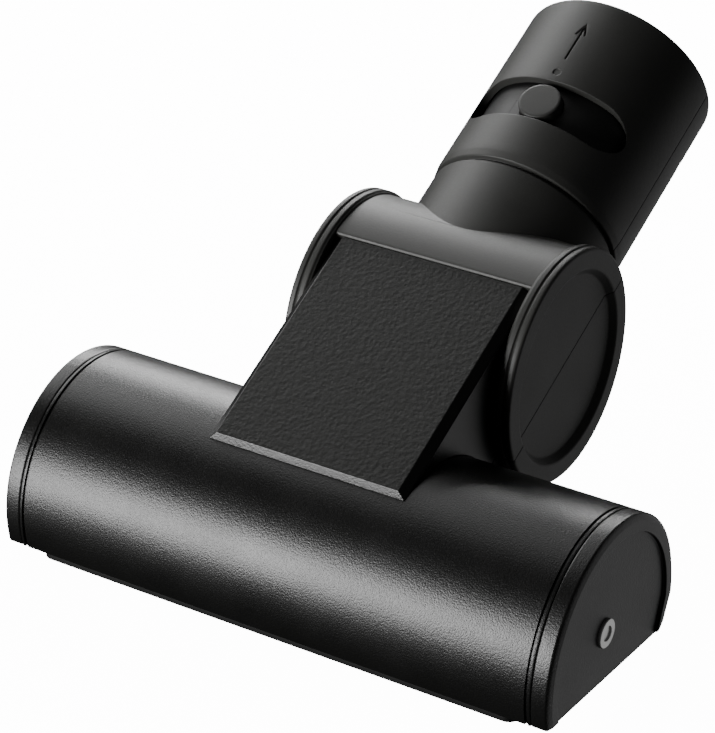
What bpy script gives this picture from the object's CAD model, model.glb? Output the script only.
"""Mini turbo brush nozzle: fine visible pieces, finishes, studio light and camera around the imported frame."""

import logging
import math
from dataclasses import dataclass
from enum import Enum
from typing import Sequence

import bpy
from mathutils import Matrix, Vector


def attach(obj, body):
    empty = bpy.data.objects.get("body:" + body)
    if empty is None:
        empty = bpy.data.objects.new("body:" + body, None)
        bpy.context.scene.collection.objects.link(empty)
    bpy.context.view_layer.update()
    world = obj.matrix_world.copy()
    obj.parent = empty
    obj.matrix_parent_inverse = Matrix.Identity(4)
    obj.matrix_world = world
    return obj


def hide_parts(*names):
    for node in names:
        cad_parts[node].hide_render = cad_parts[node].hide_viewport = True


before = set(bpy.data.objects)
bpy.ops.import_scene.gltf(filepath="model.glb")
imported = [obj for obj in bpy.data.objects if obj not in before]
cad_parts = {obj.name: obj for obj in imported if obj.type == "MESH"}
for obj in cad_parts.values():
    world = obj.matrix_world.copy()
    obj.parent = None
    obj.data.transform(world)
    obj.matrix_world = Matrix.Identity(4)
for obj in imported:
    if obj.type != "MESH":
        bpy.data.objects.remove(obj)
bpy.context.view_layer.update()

logging.basicConfig(level=logging.INFO, format="%(levelname)s %(message)s")
LOG = logging.getLogger("turbo_brush")

# One millimetre in metres, and the angle of the neck and panel at rest.
MM = 0.001
TILT = math.radians(30.0)

# Edges flatter than this are shaded smooth.
SMOOTH_BELOW = math.radians(50.0)

# Lengths in millimetres. U runs along the neck from the barrel's axis; PANEL_END runs the other way.
HEAD_R = 31.5
HEAD_AXIS_Z = 11.6
HEAD_FOOT_Y = 26.6
HEAD_BASE = 2.05
CAP_X = 73.0
HEAD_HALF = 78.0
ROLLER_Y = -3.5
ROLLER_Z = 15.6
DRUM_Y = 56.4
DRUM_Z = 48.4
DRUM_R = 30.0
DRUM_HALF = 28.45
NECK_R = 27.1
NECK_END = 95.0
SLOT_U = 59.1
BUTTON_U = 58.6
PANEL_END = 64.5
BRISTLE_END = 57.0
BRISTLE_FOOT = 6.7
BRISTLE_PITCH = 0.85

# The middle of the head's arc, in the drum frame.
HEAD_IN_DRUM = (0.0, -67.243, -3.670)

# The rear of the neck's end, and the middle of the whole part, in the head frame.
REAR_Y = DRUM_Y + NECK_END * math.cos(TILT) + 26.3 * math.sin(TILT)
MID_Y = (REAR_Y - HEAD_R) / 2

# The slow colour drift, in cells per metre.
DRIFT_SCALE = 60.0

# Panel faces take the grain where the cosine to the panel's own normal is above this.
GRAINED_FACE = 0.97

# Colour sockets of the Mix node, by place, because its socket names repeat.
MIX_LOW, MIX_HIGH, MIX_OUT = 6, 7, 2

# The camera's place in the head frame, in metres, and its sensor and lens.
CAMERA_AT = (0.34155, -0.5636, 0.3784)
SENSOR_MM = 36.0
LENS_MM = 149.8577

Pair = tuple[float, float]
Triple = tuple[float, float, float]


class Place(Enum):
    """The three frames in which pieces are drawn, in millimetres."""

    HEAD = "head"
    DRUM = "drum"
    ROLLER = "roller"


PLACES: dict[Place, Matrix] = {
    Place.HEAD: Matrix.Translation((0, -MID_Y * MM, 0)),
    Place.DRUM: Matrix.Translation((0, (DRUM_Y - MID_Y) * MM, DRUM_Z * MM)) @ Matrix.Rotation(TILT, 4, "X"),
    Place.ROLLER: Matrix.Translation((0, (ROLLER_Y - MID_Y) * MM, ROLLER_Z * MM)),
}


class Spin(Enum):
    """The axis that a turned piece is spun about."""

    X = (1, 0, 0)
    Y = (0, 1, 0)
    Z = (0, 0, 1)


class Socket:
    """One shader socket that takes part in Python expressions."""

    def __init__(self, tree: bpy.types.NodeTree, output: bpy.types.NodeSocket) -> None:
        """Wrap an output socket of a node tree."""
        self.tree = tree
        self.output = output

    def _math(self, operation: str, first: "Socket | float", second: "Socket | float") -> "Socket":
        """Add one Math node.

        Args:
            operation: the Math node's operation.
            first: the first value.
            second: the second value.

        Returns:
            The result's socket.
        """
        node = self.tree.nodes.new("ShaderNodeMath")
        node.operation = operation
        for slot, value in zip(node.inputs, (first, second)):
            if isinstance(value, Socket):
                self.tree.links.new(value.output, slot)
            else:
                slot.default_value = value
        return Socket(self.tree, node.outputs[0])

    def __add__(self, other: "Socket | float") -> "Socket":
        """Sum."""
        return self._math("ADD", self, other)

    def __sub__(self, other: "Socket | float") -> "Socket":
        """Difference."""
        return self._math("SUBTRACT", self, other)

    def __mul__(self, other: "Socket | float") -> "Socket":
        """Product."""
        return self._math("MULTIPLY", self, other)


class Finish:
    """A procedural material under construction."""

    def __init__(self, name: str) -> None:
        """Start a material with a Principled shader."""
        self.material = bpy.data.materials.new(name)
        self.material.use_nodes = True
        self.tree = self.material.node_tree
        self.tree.nodes.clear()
        self.shader = self.tree.nodes.new("ShaderNodeBsdfPrincipled")
        end = self.tree.nodes.new("ShaderNodeOutputMaterial")
        self.tree.links.new(self.shader.outputs[0], end.inputs[0])

    def node(self, kind: str, settings: dict[str, object], inputs: dict[str, object], out: int = 0) -> Socket:
        """Add any node.

        Args:
            kind: the node's type.
            settings: its properties, set before its inputs.
            inputs: its input sockets by name, as values or Sockets.
            out: which output to hand back.

        Returns:
            The chosen output socket.
        """
        node = self.tree.nodes.new(kind)
        for key, value in settings.items():
            setattr(node, key, value)
        for key, value in inputs.items():
            target = node.inputs[key]
            if isinstance(value, Socket):
                self.tree.links.new(value.output, target)
            else:
                target.default_value = value
        return Socket(self.tree, node.outputs[out])

    def place(self, stretch: Triple = (1, 1, 1)) -> Socket:
        """Object coordinates, stretched.

        Args:
            stretch: scale along each axis.

        Returns:
            The coordinates' socket.
        """
        spot = self.node("ShaderNodeTexCoord", {}, {}, 3)
        return self.node("ShaderNodeMapping", {}, {"Vector": spot, "Scale": stretch})

    def noise(self, scale: float, detail: float = 2.0, stretch: Triple = (1, 1, 1)) -> Socket:
        """Noise on the piece, with scale in cells per metre.

        Args:
            scale: cells per metre.
            detail: octaves.
            stretch: scale along each axis.

        Returns:
            The noise value's socket.
        """
        inputs = {"Vector": self.place(stretch), "Scale": scale, "Detail": detail}
        return self.node("ShaderNodeTexNoise", {}, inputs)

    def mix(self, share: "Socket | float", low: Triple, high: Triple) -> Socket:
        """Blend two colours.

        Args:
            share: how much of the second colour.
            low: the first colour.
            high: the second colour.

        Returns:
            The blended colour's socket.
        """
        node = self.tree.nodes.new("ShaderNodeMix")
        node.data_type = "RGBA"
        if isinstance(share, Socket):
            self.tree.links.new(share.output, node.inputs[0])
        else:
            node.inputs[0].default_value = share
        node.inputs[MIX_LOW].default_value = (*low, 1)
        node.inputs[MIX_HIGH].default_value = (*high, 1)
        return Socket(self.tree, node.outputs[MIX_OUT])

    def set(self, name: str, value: "Socket | float | tuple") -> None:
        """Give the shader's named input a value or a link."""
        target = self.shader.inputs[name]
        if isinstance(value, Socket):
            self.tree.links.new(value.output, target)
        else:
            target.default_value = value

    def bump(self, height: Socket, strength: float, depth_mm: float) -> None:
        """Feed a bump from a height.

        Args:
            height: the height value.
            strength: how strongly it counts.
            depth_mm: the depth of a full step.
        """
        inputs = {"Height": height, "Strength": strength, "Distance": depth_mm * MM}
        self.set("Normal", self.node("ShaderNodeBump", {}, inputs))


@dataclass(frozen=True)
class MouldedPlastic:
    """Moulded plastic with a fine grain, an uneven sheen and a faint colour drift.

    Attributes:
        name: the material's name.
        colour: its middle colour.
        roughness: its middle roughness.
        grain_mm: the size of its grain.
        grain_depth: the depth of its grain.
        leather: how much of the grain is leather pebble.
        shine: the strength of its surface reflection.
    """

    name: str
    colour: Triple
    roughness: float
    grain_mm: float
    grain_depth: float
    leather: float = 0.0
    shine: float = 0.5

    def build(self) -> bpy.types.Material:
        """Make the material."""
        finish = Finish(self.name)
        drift = finish.noise(DRIFT_SCALE, 3.0)
        lighter = tuple(1.35 * c for c in self.colour)
        darker = tuple(0.75 * c for c in self.colour)
        finish.set("Base Color", finish.mix(drift, darker, lighter))
        grain = finish.noise(1.0 / (self.grain_mm * MM), 2.0)
        height = grain
        if self.leather:
            pebble = finish.node(
                "ShaderNodeTexVoronoi",
                {"feature": "SMOOTH_F1"},
                {"Vector": finish.place(), "Scale": 0.45 / (self.grain_mm * MM), "Smoothness": 0.6},
            )
            height = grain * (1 - self.leather) + pebble * self.leather
        finish.set("Roughness", (grain - 0.5) * 0.16 + (drift - 0.5) * 0.1 + self.roughness)
        finish.set("IOR", 1.5)
        finish.set("Specular IOR Level", self.shine)
        finish.bump(height, 0.55, self.grain_depth)
        return finish.material


@dataclass(frozen=True)
class TurnedMetal:
    """Turned or plated metal with fine tool lines."""

    name: str
    colour: Triple
    roughness: float

    def build(self) -> bpy.types.Material:
        """Make the material."""
        finish = Finish(self.name)
        lines = finish.noise(900.0, 2.0, (6, 1, 1))
        finish.set("Base Color", finish.mix(lines, tuple(0.8 * c for c in self.colour), self.colour))
        finish.set("Metallic", 1.0)
        finish.set("Roughness", (lines - 0.5) * 0.2 + self.roughness)
        finish.bump(lines, 0.3, 0.02)
        return finish.material


@dataclass(frozen=True)
class NylonBristle:
    """Slightly glossy nylon filaments, paler towards the tips."""

    name: str
    colour: Triple

    def build(self) -> bpy.types.Material:
        """Make the material."""
        finish = Finish(self.name)
        fibre = finish.noise(2500.0, 1.0, (1, 1, 0.2))
        finish.set("Base Color", finish.mix(fibre, tuple(0.5 * c for c in self.colour), self.colour))
        finish.set("Roughness", (fibre - 0.5) * 0.2 + 0.45)
        finish.bump(fibre, 0.3, 0.05)
        return finish.material


def deselect() -> None:
    """Leave edit mode and deselect everything."""
    if bpy.context.object and bpy.context.object.mode != "OBJECT":
        bpy.ops.object.mode_set(mode="OBJECT")
    bpy.ops.object.select_all(action="DESELECT")


def focus(piece: bpy.types.Object) -> None:
    """Make a piece the only selected and the active one."""
    deselect()
    piece.select_set(True)
    bpy.context.view_layer.objects.active = piece


def settle() -> None:
    """Apply the active piece's place, turn and size to its mesh."""
    bpy.ops.object.transform_apply(location=True, rotation=True, scale=True)


def open_mesh(piece: bpy.types.Object) -> None:
    """Enter edit mode on a piece with all of its mesh selected."""
    focus(piece)
    bpy.ops.object.mode_set(mode="EDIT")
    bpy.ops.mesh.select_all(action="SELECT")


def moved(piece: bpy.types.Object, by: Triple) -> None:
    """Move a piece's mesh by some millimetres."""
    focus(piece)
    piece.location = [c * MM for c in by]
    settle()


def draw_chain(name: str, points: Sequence[Vector]) -> bpy.types.Object:
    """Draw an open chain of edges by extruding one vertex from point to point.

    Args:
        name: the new object's name.
        points: the corners, in metres.

    Returns:
        The object, left in edit mode with its last vertex selected.
    """
    deselect()
    bpy.ops.mesh.primitive_plane_add(size=1.0, location=(0, 0, 0))
    piece = bpy.context.object
    piece.name = name
    piece.data.name = name
    bpy.ops.object.mode_set(mode="EDIT")
    bpy.ops.mesh.select_all(action="SELECT")
    bpy.ops.mesh.merge(type="CENTER")
    bpy.ops.transform.translate(value=tuple(points[0]))
    for before, after in zip(points, points[1:]):
        bpy.ops.mesh.extrude_vertices_move(TRANSFORM_OT_translate={"value": tuple(after - before)})
    return piece


def clean(piece: bpy.types.Object) -> None:
    """Merge doubles and point the faces outwards, then leave edit mode."""
    bpy.ops.mesh.select_all(action="SELECT")
    bpy.ops.mesh.remove_doubles(threshold=0.004 * MM)
    bpy.ops.mesh.normals_make_consistent(inside=False)
    bpy.ops.object.mode_set(mode="OBJECT")


def turned(name: str, profile: Sequence[Pair], axis: Spin, steps: int = 96,
           closed: bool = False) -> bpy.types.Object:
    """Turn a profile about an axis, as on a lathe.

    Args:
        name: the new object's name.
        profile: (radius, along) corners in millimetres.
        axis: the axis of the lathe.
        steps: how many steps go round.
        closed: true where the profile is a ring clear of the axis.

    Returns:
        The turned object, at the origin.
    """
    def at(radius: float, along: float) -> Vector:
        """One corner in space."""
        if axis is Spin.X:
            return Vector((along, radius, 0)) * MM
        if axis is Spin.Y:
            return Vector((radius, along, 0)) * MM
        return Vector((radius, 0, along)) * MM

    corners = [at(r, a) for r, a in profile]
    if closed:
        corners.append(corners[0])
    piece = draw_chain(name, corners)
    bpy.ops.mesh.select_all(action="SELECT")
    bpy.ops.mesh.spin(steps=steps, angle=2 * math.pi, center=(0, 0, 0), axis=axis.value)
    clean(piece)
    return piece


def rod(name: str, radius: float, half: float, steps: int) -> bpy.types.Object:
    """Turn a plain rod about the long axis, centred at the origin.

    Args:
        name: the new object's name.
        radius: its radius in millimetres.
        half: half its length in millimetres.
        steps: how many steps go round.

    Returns:
        The rod.
    """
    return turned(name, [(0, -half), (radius, -half), (radius, half), (0, half)], Spin.X, steps)


def extruded(name: str, outline: Sequence[Vector], steps: Sequence[tuple[Vector, float]],
             centre: Vector) -> bpy.types.Object:
    """Fill an outline and extrude it step by step, resizing it about a centre at each step.

    Args:
        name: the new object's name.
        outline: the outline's corners, in metres.
        steps: (move in metres, size against the size before) of each extrusion.
        centre: the centre of the resizing, in metres.

    Returns:
        The extruded object.
    """
    piece = draw_chain(name, outline)
    bpy.ops.mesh.select_all(action="SELECT")
    bpy.ops.mesh.edge_face_add()
    at = centre.copy()
    for move, size in steps:
        bpy.ops.mesh.extrude_region_move(TRANSFORM_OT_translate={"value": tuple(move)})
        at += move
        if size != 1.0:
            bpy.ops.transform.resize(value=(size, size, size), center_override=tuple(at))
    clean(piece)
    return piece


def box(name: str, low: Triple, high: Triple) -> bpy.types.Object:
    """Add a box cutter from its low and high corners, in millimetres."""
    deselect()
    middle = [(a + b) / 2 * MM for a, b in zip(low, high)]
    bpy.ops.mesh.primitive_cube_add(size=1.0, location=middle)
    piece = bpy.context.object
    piece.name = name
    piece.scale = [(b - a) * MM for a, b in zip(low, high)]
    settle()
    return piece


def post(name: str, radius: float, centre: Triple, length: float, sides: int = 48) -> bpy.types.Object:
    """Add an upright round bar, in millimetres, centred at a point."""
    deselect()
    bpy.ops.mesh.primitive_cylinder_add(
        vertices=sides, radius=radius * MM, depth=length * MM, location=[c * MM for c in centre]
    )
    piece = bpy.context.object
    piece.name = name
    settle()
    return piece


def copied(piece: bpy.types.Object, name: str) -> bpy.types.Object:
    """Copy a piece with its own mesh."""
    focus(piece)
    bpy.ops.object.duplicate()
    twin = bpy.context.object
    twin.name = name
    twin.data.name = name
    return twin


def carve(piece: bpy.types.Object, tool: bpy.types.Object, how: str = "DIFFERENCE",
          keep: bool = False) -> None:
    """Cut, join or keep the common part with another solid.

    Args:
        piece: the piece that changes.
        tool: the other solid.
        how: DIFFERENCE, UNION or INTERSECT.
        keep: true leaves the other solid in the scene.
    """
    focus(piece)
    step = piece.modifiers.new("carve", "BOOLEAN")
    step.operation = how
    step.solver = "EXACT"
    step.object = tool
    bpy.ops.object.modifier_apply(modifier=step.name)
    if not keep:
        bpy.data.objects.remove(tool, do_unlink=True)


def rounded(piece: bpy.types.Object, width: float, segments: int = 2, angle: float = 32.0) -> None:
    """Round a piece's sharp edges.

    Args:
        piece: the piece.
        width: the rounding's width in millimetres.
        segments: how many facets it has.
        angle: edges sharper than this, in degrees, are rounded.
    """
    open_mesh(piece)
    bpy.ops.mesh.remove_doubles(threshold=0.02 * MM)
    bpy.ops.object.mode_set(mode="OBJECT")
    step = piece.modifiers.new("rounding", "BEVEL")
    step.width = width * MM
    step.segments = segments
    step.limit_method = "ANGLE"
    step.angle_limit = math.radians(angle)
    step.use_clamp_overlap = False
    bpy.ops.object.modifier_apply(modifier=step.name)


def d_outline(inset: float, base: float, x: float, steps: int = 96) -> list[Vector]:
    """The head's D section at one place along it.

    Args:
        inset: how far it is moved in from the outside.
        base: the height of its flat foot.
        x: where along the head it is drawn.
        steps: how many edges its arc has.

    Returns:
        Its corners in the head frame, in metres.
    """
    radius = HEAD_R - inset
    foot = HEAD_FOOT_Y - inset
    start = math.asin((base - HEAD_AXIS_Z) / radius)
    points = [(-radius * math.cos(start), base), (foot, base), (foot + 1.8, base + 1.8)]
    for i in range(steps):
        turn = (math.pi - start) * i / steps
        points.append((radius * math.cos(turn), HEAD_AXIS_Z + radius * math.sin(turn)))
    return [Vector((x, y, z)) * MM for y, z in points]


def soft_oblong(low: Pair, high: Pair, radius: float, height: float, steps: int = 8) -> list[Vector]:
    """A flat rectangle with rounded corners.

    Args:
        low: its low corner, in millimetres.
        high: its high corner.
        radius: the radius of its corners.
        height: the height that it lies at.
        steps: how many edges each corner has.

    Returns:
        Its corners, in metres.
    """
    points = []
    middles = ((high[0] - radius, high[1] - radius), (low[0] + radius, high[1] - radius),
               (low[0] + radius, low[1] + radius), (high[0] - radius, low[1] + radius))
    for quarter, (x, y) in enumerate(middles):
        for i in range(steps + 1):
            turn = math.pi / 2 * (quarter + i / steps)
            points.append(Vector((x + radius * math.cos(turn), y + radius * math.sin(turn), height)) * MM)
    return points


@dataclass
class Dresser:
    """Puts finished pieces on their bodies with their finishes."""

    finishes: dict[str, bpy.types.Material]

    def seat(self, piece: bpy.types.Object, place: Place, body: str, finish: str, slot: str,
             stands_for: Sequence[str]) -> bpy.types.Object:
        """Args:
            piece: the piece.
            place: the frame it was drawn in.
            body: the body that carries it.
            finish: its finish's name.
            slot: the record's material slot.
            stands_for: the plain nodes that it stands for.

        Returns:
            The same piece.
        """
        focus(piece)
        piece.matrix_world = PLACES[place]
        settle()
        bpy.ops.object.shade_smooth_by_angle(angle=SMOOTH_BELOW)
        step = piece.modifiers.new("flat faces", "WEIGHTED_NORMAL")
        step.keep_sharp = True
        bpy.ops.object.modifier_apply(modifier=step.name)
        piece.data.materials.clear()
        piece.data.materials.append(self.finishes[finish])
        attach(piece, body)
        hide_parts(*stands_for)
        LOG.info("%s: %d faces on %s", piece.name, len(piece.data.polygons), body)
        return piece

    def dress_node(self, node: str, finish: str) -> None:
        """Give a plain node that stays a finish."""
        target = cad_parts[node]
        target.data.materials.clear()
        target.data.materials.append(self.finishes[finish])
        LOG.info("%s: dressed in %s", node, finish)


@dataclass
class Head:
    """The D-section head: shell, two end caps and soleplate."""

    shell_half: float = 72.95
    wall: float = 2.2
    base: float = HEAD_BASE

    def shell(self) -> bpy.types.Object:
        """The shell, with a groove and a bead beside each end cap."""
        middle = Vector((-self.shell_half, 0, HEAD_AXIS_Z)) * MM
        groove = (HEAD_R - 0.55) / HEAD_R
        bead = (HEAD_R - 0.1) / HEAD_R

        def along(length: float, size: float = 1.0) -> tuple[Vector, float]:
            """One extrusion along the head."""
            return Vector((length * MM, 0, 0)), size

        run = 2 * self.shell_half
        ends = 0.25 + 0.5 + 0.15 + 0.5 + 0.15
        steps = [
            along(0.25, 1 / bead), along(0.5), along(0.15, groove), along(0.5), along(0.15, 1 / groove),
            along(run - 2 * ends),
            along(0.15, groove), along(0.5), along(0.15, 1 / groove), along(0.5), along(0.25, bead),
        ]
        outline = [p + (middle - p) * (1 - bead) for p in d_outline(0, self.base, -self.shell_half)]
        shell = extruded("head_shell_fine", outline, steps, middle)
        hollow = d_outline(self.wall, self.base - 5, -HEAD_HALF)
        inside = extruded("inside", hollow, [along(2 * HEAD_HALF)], middle)
        carve(shell, inside)
        for low in (-self.shell_half + 0.02, 60.5):
            floor = box("floor", (low, -29.4, self.base), (low + 12.43, 26.2, self.base + 2.2))
            carve(shell, floor, "UNION")
        return shell

    def cap(self, side: int, name: str) -> bpy.types.Object:
        """One end cap: band, chamfer, flat rim and sunk face.

        Args:
            side: -1 at the left, 1 at the right.
            name: its name.

        Returns:
            The cap.
        """
        start = Vector((side * CAP_X, 0, HEAD_AXIS_Z)) * MM

        def out(length: float, size: float = 1.0) -> tuple[Vector, float]:
            """One extrusion towards the cap's face."""
            return Vector((side * length * MM, 0, 0)), size

        lip = (HEAD_R - 0.3) / HEAD_R
        steps = [out(0.3, 1 / lip), out(3.7), out(0.2, (HEAD_R - 0.15) / HEAD_R)]
        steps.append(out(0.8, (HEAD_R - 1.6) / (HEAD_R - 0.15)))
        outline = [p + (start - p) * (1 - lip) for p in d_outline(0, self.base, side * CAP_X)]
        cap = extruded(name, outline, steps, start)
        sink = 0.9
        face = d_outline(4.4, self.base - 3, side * (HEAD_HALF - sink))
        carve(cap, extruded("recess", face, [out(2.0)], start))
        hollow = extruded("hollow", d_outline(2.4, self.base + 2.2, side * 72.0), [out(2.4)], start)
        carve(cap, hollow)
        deselect()
        hub_x = side * 70.5
        bpy.ops.mesh.primitive_cylinder_add(
            vertices=48, radius=5.5 * MM, depth=7.6 * MM, rotation=(0, math.pi / 2, 0),
            location=(hub_x * MM, ROLLER_Y * MM, ROLLER_Z * MM),
        )
        hub = bpy.context.object
        settle()
        carve(cap, hub, "UNION")
        rounded(cap, 0.28)
        return cap

    def soleplate(self) -> bpy.types.Object:
        """The soleplate with its suction mouth and screw seats."""
        up = Vector((0, 0, MM))
        rim = soft_oblong((-68, -29.2), (68, 25.3), 3, 0)
        plate = extruded("soleplate_fine", rim, [(2 * up, 1.0)], Vector())
        mouth = extruded("mouth", soft_oblong((-59, -24.5), (59, 14), 3, -1), [(4 * up, 1.0)], Vector())
        carve(plate, mouth)
        for x in (-64, 64):
            for y in (-23, 19):
                carve(plate, post("seat", 2.3, (x, y, 0.1), 2.4))
        rounded(plate, 0.35)
        return plate


class Drum:
    """The hinge barrel, neck tube, duct and everything drawn in the drum frame."""

    def neck_solid(self) -> bpy.types.Object:
        """The whole neck before it is split into its two half shells."""
        tube = turned("neck", [
            (0, 0), (26.4, 0), *[(26.4, 20.0 + 4.0 * i) for i in range(4)], (26.4, 36.5), (26.2, 36.7),
            (25.5, 36.8), (25.5, 37.7), (26.6, 37.9), (26.75, 38.1), (27.0, 39.8), (NECK_R, 40.3),
            *[(NECK_R, 42.0 + 2.5 * i) for i in range(21)], (NECK_R, 94.0), (27.0, 94.5), (26.7, 94.85),
            (26.2, NECK_END), (0, NECK_END),
        ], Spin.Y, 128)
        bar = rod("bar", DRUM_R, DRUM_HALF, 128)
        bore = turned("bore", [(0, 0), (24.9, 0), (24.9, 96), (0, 96)], Spin.Y, 128)
        carve(bore, bar, keep=True)
        carve(tube, bore)
        cut = math.radians(-110)
        wedge = ((0, 0), (0.2, 29.45), (0.75, 30), (1.5, 30.75), (1.5, 60), (-60, 60), (-60, -60),
                 (60 * math.cos(cut), 60 * math.sin(cut)))
        corners = [Vector((-29, u, h)) * MM for u, h in wedge]
        front = extruded("front", corners, [(Vector((58 * MM, 0, 0)), 1.0)], Vector())
        carve(bar, front)
        carve(tube, bar, "UNION")
        throat = turned("throat", [(0, 0), (20, 0), (20, 36), (0, 36)], Spin.Y, 96)
        carve(tube, throat)
        carve(tube, rod("room", 27.4, 28.35, 128))
        for side in (-1, 1):
            disc = turned("disc", [(radius, side * along) for radius, along in (
                (0, 28.35), (30.4, 28.35), (30.5, 28.75), (30.95, 29.05), (31.0, 29.4), (31.0, 30.5),
                (30.6, 30.65), (30.6, 31.05), (31.0, 31.2), (31.0, 32.2), (30.8, 32.75), (30.3, 33.0),
                (26.0, 33.0), (25.5, 32.85), (24.0, 31.35), (23.6, 31.2), (0, 31.2),
            )], Spin.X, 128)
            open_mesh(disc)
            bpy.ops.mesh.dissolve_limited(angle_limit=math.radians(0.5))
            bpy.ops.object.mode_set(mode="OBJECT")
            carve(tube, disc, "UNION")
        carve(tube, rod("pocket", 9.1, 30, 64))
        return tube

    def engraving(self, tube: bpy.types.Object) -> None:
        """Cut the swivel slot, the small dot and the direction arrow into the neck."""
        half, end, steps = 22.2, 6.6, 32
        slot = []
        for side in (1, -1):
            for i in range(steps + 1):
                turn = -side * math.pi / 2 + math.pi * i / steps
                slot.append((side * (half - end) + end * math.cos(turn), SLOT_U + end * math.sin(turn)))
        outline = [Vector((x, u, 5)) * MM for x, u in slot]
        carve(tube, extruded("slot", outline, [(Vector((0, 0, 35 * MM)), 1.0)], Vector()))
        carve(tube, post("dot", 1.1, (0, 68.8, 27.9), 2.2, 24))
        carve(tube, box("shaft", (-0.2, 73.5, 26.7), (0.2, 85.8, 29)))
        barb = [(-1.55, 82.5), (0, 86.4), (1.55, 82.5), (1.2, 82.3), (0, 85.5), (-1.2, 82.3)]
        outline = [Vector((x, u, 26.65)) * MM for x, u in barb]
        carve(tube, extruded("barb", outline, [(Vector((0, 0, 2 * MM)), 1.0)], Vector()))

    def neck_halves(self) -> tuple[bpy.types.Object, bpy.types.Object]:
        """The upper and lower half shells, with softened edges."""
        upper = self.neck_solid()
        upper.name = "neck_upper_fine"
        lower = copied(upper, "neck_lower_fine")
        self.engraving(upper)
        carve(upper, box("below", (-90, -90, -90), (90, 130, 0.03)))
        carve(lower, box("above", (-90, -90, -0.03), (90, 130, 90)))
        for x in (-22.7, 22.7):
            for u in (40, 78):
                carve(lower, post("seat", 2.3, (x, u, -16.5), 16, 32))
        for shell in (upper, lower):
            rounded(shell, 0.22, 2, 24.0)
        return upper, lower

    def sleeve(self) -> bpy.types.Object:
        """The socket sleeve with its button hole and click slit."""
        sleeve = turned("swivel_sleeve_fine", [
            (16.5, 44), (19.3, 44), (19.3, 48), (24.2, 48), (24.5, 48.3), (24.5, 69.7), (24.2, 70),
            (22.75, 70), (22.75, 50), (19.3, 50), (19.3, 85.85), (24.3, 85.85), (24.5, 86), (24.5, 87.7),
            (24.3, 87.85), (19.3, 87.85), (19.3, 91.55), (24.3, 91.55), (24.55, 91.8), (24.55, 94.2),
            (24.25, 94.5), (18.8, 94.5), (18.3, 94.3), (17.95, 93.9), (17.8, 93.4), (17.8, 46), (16.5, 46),
        ], Spin.Y, 128, closed=True)
        carve(sleeve, post("hole", 5.95, (0, BUTTON_U, 25.5), 8))
        carve(sleeve, box("slit", (-8.6, 52.6, 23.0), (-7.9, 59.6, 27)))
        return sleeve

    def button(self) -> bpy.types.Object:
        """The latch button, a low crowned disc on a flange."""
        button = turned("latch_button_fine", [
            (0, 20.74), (6.6, 20.74), (6.6, 21.6), (5.7, 21.6), (5.7, 26.45), (5.62, 26.72), (5.4, 26.9),
            (4.9, 26.96), (2.5, 26.99), (0, 27.0),
        ], Spin.Z, 64)
        moved(button, (0, BUTTON_U, 0))
        return button

    def panel(self) -> bpy.types.Object:
        """The flat panel, with a bevelled front edge and chamfered sides."""
        low, high = 27.85, 29.55
        wide, narrow, foot_end = 27.9, 25.9, 65.9
        corners = ((-wide, 0), (-wide, -foot_end), (wide, -foot_end), (wide, 0))
        foot = [Vector((x, u, low)) * MM for x, u in corners]
        panel = extruded("top_panel_fine", foot, [(Vector((0, 0, (high - low) * MM)), 1.0)], Vector())
        for corner in panel.data.vertices:
            if corner.co.z > (low + 0.5) * MM:
                corner.co.x *= narrow / wide
                if corner.co.y < -1 * MM:
                    corner.co.y = -PANEL_END * MM
        rounded(panel, 0.22, 3, 20.0)
        return panel

    def duct(self) -> tuple[bpy.types.Object, bpy.types.Object]:
        """The two duct shells with the turbine housing between them."""
        drum = rod("duct", 27.05, 28, 128)
        carve(drum, box("channel", (-28, -60, -14.5), (28, 0, 27.75)), "UNION")
        carve(drum, rod("hollow", 25.05, 26, 128))
        carve(drum, box("path", (-26, -70, -12.5), (26, 0, 25.75)))
        head = rod("head", HEAD_R + 0.05, 80, 256)
        moved(head, HEAD_IN_DRUM)
        carve(drum, head)
        window = [(0, 0)] + [(40 * math.cos(math.radians(a)), 40 * math.sin(math.radians(a)))
                             for a in (-83, -60, -30, 0, 30, 47)]
        outline = [Vector((-20, u, h)) * MM for u, h in window]
        carve(drum, extruded("window", outline, [(Vector((40 * MM, 0, 0)), 1.0)], Vector()))
        for side in (-1, 1):
            ends = [(0, side * 26), (9, side * 26), (9, side * 29.7), (0, side * 29.7)]
            carve(drum, turned("boss", ends, Spin.X, 64), "UNION")
        carve(drum, rod("seat", 4.55, DRUM_HALF, 48))
        carve(drum, rod("shaft_bore", 2.1, 30, 48))
        upper = drum
        upper.name = "duct_upper_fine"
        lower = copied(upper, "duct_lower_fine")
        carve(upper, box("below", (-90, -90, -90), (90, 90, 0.05)))
        carve(lower, box("above", (-90, -90, -0.05), (90, 90, 90)))
        for shell in (upper, lower):
            rounded(shell, 0.2)
        return upper, lower


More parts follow.
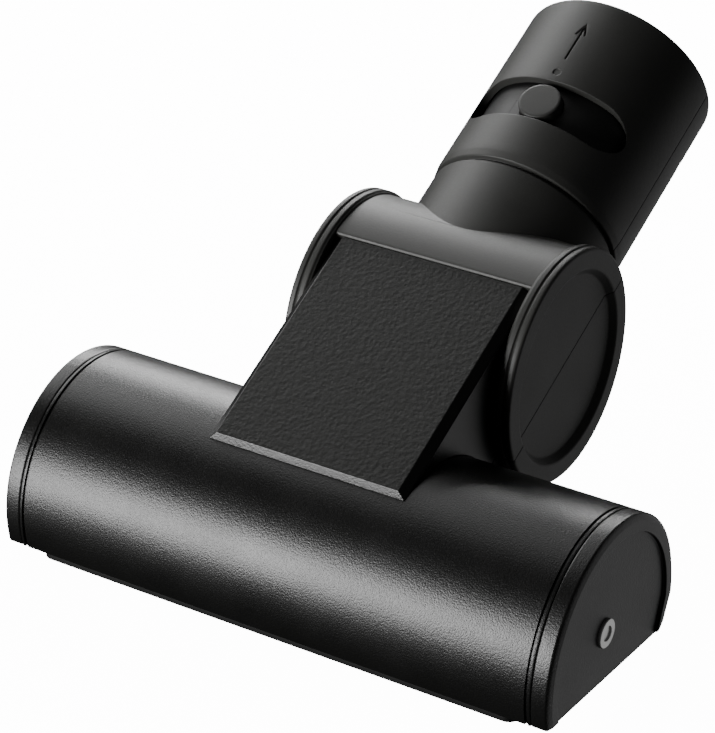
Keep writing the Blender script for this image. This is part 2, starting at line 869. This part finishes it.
@dataclass
class Roller:
    """The bristle roller."""

    tip: float = 15.2

    def core(self) -> bpy.types.Object:
        """The core with softened ends."""
        return turned("roller_core_fine", [
            (3.6, -66), (6.1, -66), (6.5, -65.6), (6.5, 65.6), (6.1, 66), (3.6, 66),
        ], Spin.X, 64, closed=True)

    def tufts(self, name: str, x0: float, x1: float, phase: float, twist: float) -> bpy.types.Object:
        """One twisted row of bristle tufts.

        Args:
            name: its name.
            x0: where the row starts.
            x1: where it ends.
            phase: its angle at the start.
            twist: how far it turns over its length.

        Returns:
            The row.
        """
        deselect()
        height = self.tip - BRISTLE_FOOT
        bpy.ops.mesh.primitive_cone_add(
            vertices=5, radius1=0.34 * MM, radius2=0.2 * MM, depth=height * MM,
            location=(x0 * MM, -0.9 * MM, (BRISTLE_FOOT + height / 2) * MM),
        )
        row = bpy.context.object
        row.name = name
        row.data.name = name
        settle()
        across = row.modifiers.new("across", "ARRAY")
        across.count = 3
        across.use_relative_offset = False
        across.use_constant_offset = True
        across.constant_offset_displace = (0.27 * MM, 0.9 * MM, 0)
        along = row.modifiers.new("along", "ARRAY")
        along.count = int((x1 - x0) / BRISTLE_PITCH)
        along.use_relative_offset = False
        along.use_constant_offset = True
        along.constant_offset_displace = (BRISTLE_PITCH * MM, 0, 0)
        for step in (across, along):
            bpy.ops.object.modifier_apply(modifier=step.name)
        for corner in row.data.vertices:
            share = (corner.co.x / MM - x0) / (x1 - x0)
            corner.co = Matrix.Rotation(phase + twist * share, 3, "X") @ corner.co
        return row


class Studio:
    """Floor, lamps and camera."""

    def floor(self) -> None:
        """A plain pale floor."""
        deselect()
        bpy.ops.mesh.primitive_plane_add(size=6.0, location=(0, 0, -0.0002))
        ground = bpy.context.object
        ground.name = "studio_floor"
        finish = Finish("studio_floor_white")
        finish.set("Base Color", (0.93, 0.93, 0.93, 1))
        finish.set("Roughness", 0.9)
        finish.set("Specular IOR Level", 0.0)
        finish.set("Emission Color", (1, 1, 1, 1))
        finish.set("Emission Strength", 14.0)
        ground.data.materials.append(finish.material)
        ground.visible_glossy = False
        ground.visible_diffuse = False
        ground.visible_shadow = False

    def lamp(self, name: str, at: Triple, aim: Triple, size: Pair, power: float) -> None:
        """Add one softbox.

        Args:
            name: its name.
            at: where it stands, in metres.
            aim: where it points.
            size: its width and height.
            power: its power in watts.
        """
        deselect()
        bpy.ops.object.light_add(type="AREA", location=at)
        lamp = bpy.context.object
        lamp.name = name
        lamp.data.shape = "RECTANGLE"
        lamp.data.size, lamp.data.size_y = size
        lamp.data.energy = power
        lamp.rotation_euler = (Vector(aim) - Vector(at)).to_track_quat("-Z", "Y").to_euler()

    def light(self) -> None:
        """Soft studio light on a dim surround."""
        world = bpy.data.worlds.new("studio_surround")
        world.use_nodes = True
        world.node_tree.nodes["Background"].inputs["Color"].default_value = (1, 1, 1, 1)
        world.node_tree.nodes["Background"].inputs["Strength"].default_value = 0.04
        bpy.context.scene.world = world
        middle = (0, 0, 0.05)
        self.lamp("front_softbox", (-0.60, -1.11, 0.125), middle, (0.6, 0.55), 21.0)
        self.lamp("back_softbox", (-0.60, 0.98, 0.67), middle, (0.8, 0.38), 13.2)
        self.lamp("overhead_softbox", (-0.56, 0.16, 1.16), middle, (0.9, 0.5), 1.6)
        self.lamp("left_softbox", (-1.05, 0.3, 0.8), middle, (0.6, 0.8), 6.2)
        self.lamp("low_back_softbox", (0.62, 1.15, -0.60), middle, (2.0, 1.5), 3.2)

    def camera(self) -> None:
        """The camera: in front of the head, to its right and above it."""
        back = Vector((0.4623, -0.7736, 0.4335)).normalized()
        up = Vector((-0.2582, 0.3502, 0.9004))
        right = up.cross(back).normalized()
        up = back.cross(right)
        turn = Matrix((right, up, back)).transposed().to_4x4()
        deselect()
        bpy.ops.object.camera_add()
        camera = bpy.context.object
        x, y, z = CAMERA_AT
        camera.matrix_world = Matrix.Translation((x, y - MID_Y * MM, z)) @ turn
        camera.data.sensor_width = SENSOR_MM
        camera.data.lens = LENS_MM
        camera.data.clip_start = 0.01
        bpy.context.scene.camera = camera


def make_finishes() -> dict[str, bpy.types.Material]:
    """Build every finish by name."""
    finishes = [
        MouldedPlastic("satin_shell", (0.0022, 0.0022, 0.002), 0.33, 0.4, 0.12),
        MouldedPlastic("leather_panel", (0.010, 0.0103, 0.0094), 0.5, 0.5, 0.3, 0.55, 0.3),
        MouldedPlastic("smooth_neck", (0.03, 0.0302, 0.028), 0.5, 0.6, 0.03),
        MouldedPlastic("inner_plastic", (0.004, 0.004, 0.0038), 0.5, 0.5, 0.02),
        MouldedPlastic("working_plastic", (0.12, 0.122, 0.125), 0.45, 0.5, 0.02),
        MouldedPlastic("sole_plastic", (0.002, 0.002, 0.002), 0.62, 0.4, 0.03, 0.0, 0.25),
        MouldedPlastic("black_rubber", (0.015, 0.015, 0.015), 0.75, 0.5, 0.03),
        TurnedMetal("bright_steel", (0.9, 0.9, 0.89), 0.3),
        TurnedMetal("sintered_bronze", (0.62, 0.45, 0.22), 0.4),
        NylonBristle("nylon_bristle", (0.09, 0.09, 0.095)),
    ]
    return {finish.name: finish.build() for finish in finishes}


def axle_screw(side: int, name: str) -> bpy.types.Object:
    """One axle screw with a round head and a shallow round recess.

    Args:
        side: -1 at the left, 1 at the right.
        name: its name.

    Returns:
        The screw, drawn about the roller axis.
    """
    return turned(name, [(radius, side * along) for radius, along in (
        (0, 68), (1.25, 68), (1.25, 76.55), (3.6, 76.55), (3.75, 76.7), (3.75, 77.7), (3.5, 77.95),
        (2.1, 77.95), (1.9, 77.8), (1.8, 77.45), (0, 77.45),
    )], Spin.X, 48)


def main() -> None:
    """Build, dress and light the nozzle."""
    dresser = Dresser(make_finishes())
    studio = Studio()
    studio.camera()
    head = Head()
    dresser.seat(head.shell(), Place.HEAD, "head", "satin_shell", "shell_plastic", ["head_shell"])
    for side, word in ((-1, "left"), (1, "right")):
        cap = head.cap(side, f"end_cap_{word}_fine")
        dresser.seat(cap, Place.HEAD, "head", "satin_shell", "shell_plastic", [f"end_cap_{word}"])
        screw = axle_screw(side, f"axle_screw_{word}_fine")
        dresser.seat(screw, Place.ROLLER, "head", "bright_steel", "steel", [f"axle_screw_{word}"])
    dresser.seat(head.soleplate(), Place.HEAD, "head", "sole_plastic", "sole_plastic", ["soleplate"])
    drum = Drum()
    panel = dresser.seat(drum.panel(), Place.DRUM, "head", "leather_panel", "panel_plastic", ["top_panel"])
    panel.data.materials.append(dresser.finishes["satin_shell"])
    top = PLACES[Place.DRUM].to_3x3() @ Vector((0, 0, 1))
    for face in panel.data.polygons:
        face.material_index = 0 if face.normal.dot(top) > GRAINED_FACE else 1
    for shell, node in zip(drum.duct(), ("duct_upper", "duct_lower")):
        dresser.seat(shell, Place.DRUM, "head", "satin_shell", "shell_plastic", [node])
    for shell, node in zip(drum.neck_halves(), ("neck_upper_shell", "neck_lower_shell")):
        dresser.seat(shell, Place.DRUM, "neck", "smooth_neck", "shell_plastic", [node])
    dresser.seat(drum.sleeve(), Place.DRUM, "sleeve", "inner_plastic", "inner_plastic", ["swivel_sleeve"])
    dresser.seat(drum.button(), Place.DRUM, "latch", "smooth_neck", "shell_plastic", ["latch_button"])
    roller = Roller()
    dresser.seat(roller.core(), Place.ROLLER, "roller", "working_plastic", "inner_plastic", ["roller_core"])
    rows = [(x0, x1, phase + turn, twist) for x0, x1, phase, twist in
            ((-BRISTLE_END, 17.4, 0.5, 1.1), (28.6, BRISTLE_END, 1.6, -1.1)) for turn in (0, math.pi)]
    for i, (x0, x1, phase, twist) in enumerate(rows, 1):
        turned_by = twist * (x1 - x0) / BRISTLE_END
        row = roller.tufts(f"bristle_row_{i}_fine", x0, x1, phase - math.pi / 2, turned_by)
        dresser.seat(row, Place.ROLLER, "roller", "nylon_bristle", "bristles", [f"bristle_row_{i}"])
    for node in ("roller_pulley", "turbine_wheel"):
        dresser.dress_node(node, "working_plastic")
    for node in ("drive_belt", "sleeve_seal"):
        dresser.dress_node(node, "black_rubber")
    for node in ("roller_axle", "turbine_shaft", "latch_spring"):
        dresser.dress_node(node, "bright_steel")
    for i in range(1, 5):
        dresser.dress_node(f"sole_screw_{i}", "bright_steel")
        dresser.dress_node(f"neck_screw_{i}", "bright_steel")
    for node in ("roller_bush_left", "roller_bush_right", "turbine_pinion", "shaft_bearing_left",
                 "shaft_bearing_right"):
        dresser.dress_node(node, "sintered_bronze")
    studio.floor()
    studio.light()


if __name__ == "__main__":
    main()
